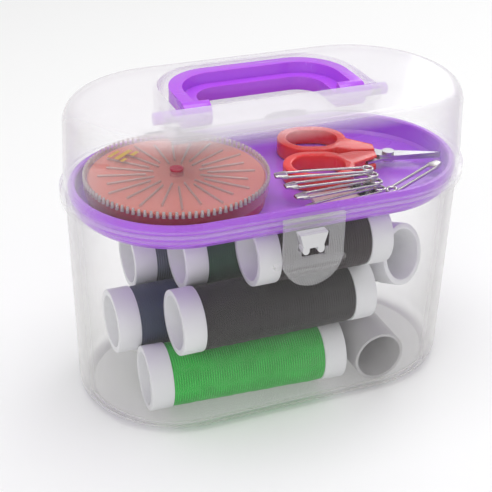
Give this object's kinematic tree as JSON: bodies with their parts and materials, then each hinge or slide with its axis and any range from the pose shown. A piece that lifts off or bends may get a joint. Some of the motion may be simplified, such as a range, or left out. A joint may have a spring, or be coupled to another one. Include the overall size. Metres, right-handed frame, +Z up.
{
  "type": "sewing box",
  "caption": "Clear rounded sewing box with a folding handle in the lid, a latch flap, a lift-out tray and a kit of thread, scissors, pins and a needle compact.",
  "frame": {"origin": "centre of the base's flat face", "axes": "+X along the box's length, +Y towards the rear hinge, +Z up"},
  "size_m": [0.125, 0.0735, 0.0941],
  "materials": {
    "frosted_shell": "frosted translucent polypropylene",
    "clear_lid": "clear polypropylene, lightly hazed",
    "clear_latch": "clear polypropylene",
    "purple_handle": "glossy moulded polypropylene",
    "purple_tray": "glossy moulded polypropylene",
    "compact_red": "moulded polystyrene",
    "compact_clear": "clear polystyrene",
    "white_plastic": "moulded polypropylene",
    "pink_card": "printed card",
    "needle_steel": "polished nickel-plated steel",
    "blade_steel": "ground steel",
    "grip_red": "moulded polypropylene",
    "pin_wire": "nickel-plated wire",
    "stud_card": "plastic card",
    "stud_black": "black enamel",
    "spool_white": "moulded plastic",
    "spool_grey": "moulded plastic",
    "green_thread": "spun polyester sewing thread",
    "black_thread": "spun polyester sewing thread",
    "navy_thread": "spun polyester sewing thread",
    "slate_thread": "spun polyester sewing thread",
    "pine_thread": "spun polyester sewing thread",
    "brown_thread": "spun polyester sewing thread",
    "rose_thread": "spun polyester sewing thread",
    "plum_thread": "spun polyester sewing thread"
  },
  "bodies": {
    "tub": {"tub": "frosted_shell", "catch": "frosted_shell", "green_core": "spool_white", "black_core": "spool_white", "navy_core": "spool_white", "slate_core": "spool_white", "pine_core": "spool_white", "brown_core": "spool_white", "rose_core": "spool_white", "plum_core": "spool_white", "green_thread": "green_thread", "black_thread": "black_thread", "navy_thread": "navy_thread", "slate_thread": "slate_thread", "pine_thread": "pine_thread", "brown_thread": "brown_thread", "rose_thread": "rose_thread", "plum_thread": "plum_thread", "grey_core": "spool_grey"},
    "lid": {"lid": "clear_lid"},
    "handle": {"handle": "purple_handle"},
    "latch": {"latch": "clear_latch"},
    "tray": {"tray": "purple_tray", "compact_base": "compact_red", "compact_plug": "white_plastic", "needle_card": "pink_card", "needles": "needle_steel", "scissor_blade_a": "blade_steel", "scissor_grip_a": "grip_red", "scissor_rivet": "blade_steel", "safety_pins": "pin_wire", "large_safety_pin": "pin_wire", "stud_card": "stud_card", "press_studs": "stud_black"},
    "compact_cover": {"compact_cover": "compact_clear"},
    "scissor_half": {"scissor_blade_b": "blade_steel", "scissor_grip_b": "grip_red"}
  },
  "joints": [
    {"name": "lid_hinge", "type": "hinge", "parent": "tub", "child": "lid", "pos_m": [0, 0.0356, 0.0671], "axis": [-1, 0, 0], "range_deg": [0, 110]},
    {"name": "handle_pivot", "type": "hinge", "parent": "lid", "child": "handle", "pos_m": [0, -0.0036, 0.0903], "axis": [1, 0, 0], "range_deg": [0, 90]},
    {"name": "latch_hinge", "type": "hinge", "parent": "lid", "child": "latch", "pos_m": [0, -0.034, 0.0684], "axis": [-1, 0, 0], "range_deg": [0, 100]},
    {"name": "tray_lift", "type": "slide", "parent": "tub", "child": "tray", "axis": [0, 0, 1], "range_m": [0, 0.046]},
    {"name": "scissor_pivot", "type": "hinge", "parent": "tray", "child": "scissor_half", "pos_m": [0.041, -0.0005, 0.066], "axis": [0, 0, -1], "range_deg": [0, 6]},
    {"name": "compact_turn", "type": "hinge", "parent": "tray", "child": "compact_cover", "pos_m": [-0.0283, 0.0005, 0.07], "axis": [0, 0, 1], "continuous": true}
  ],
  "couplings": [
    {"joint": "tray_lift", "follows": "lid_hinge", "m_per_rad": 0.0234}
  ]
}
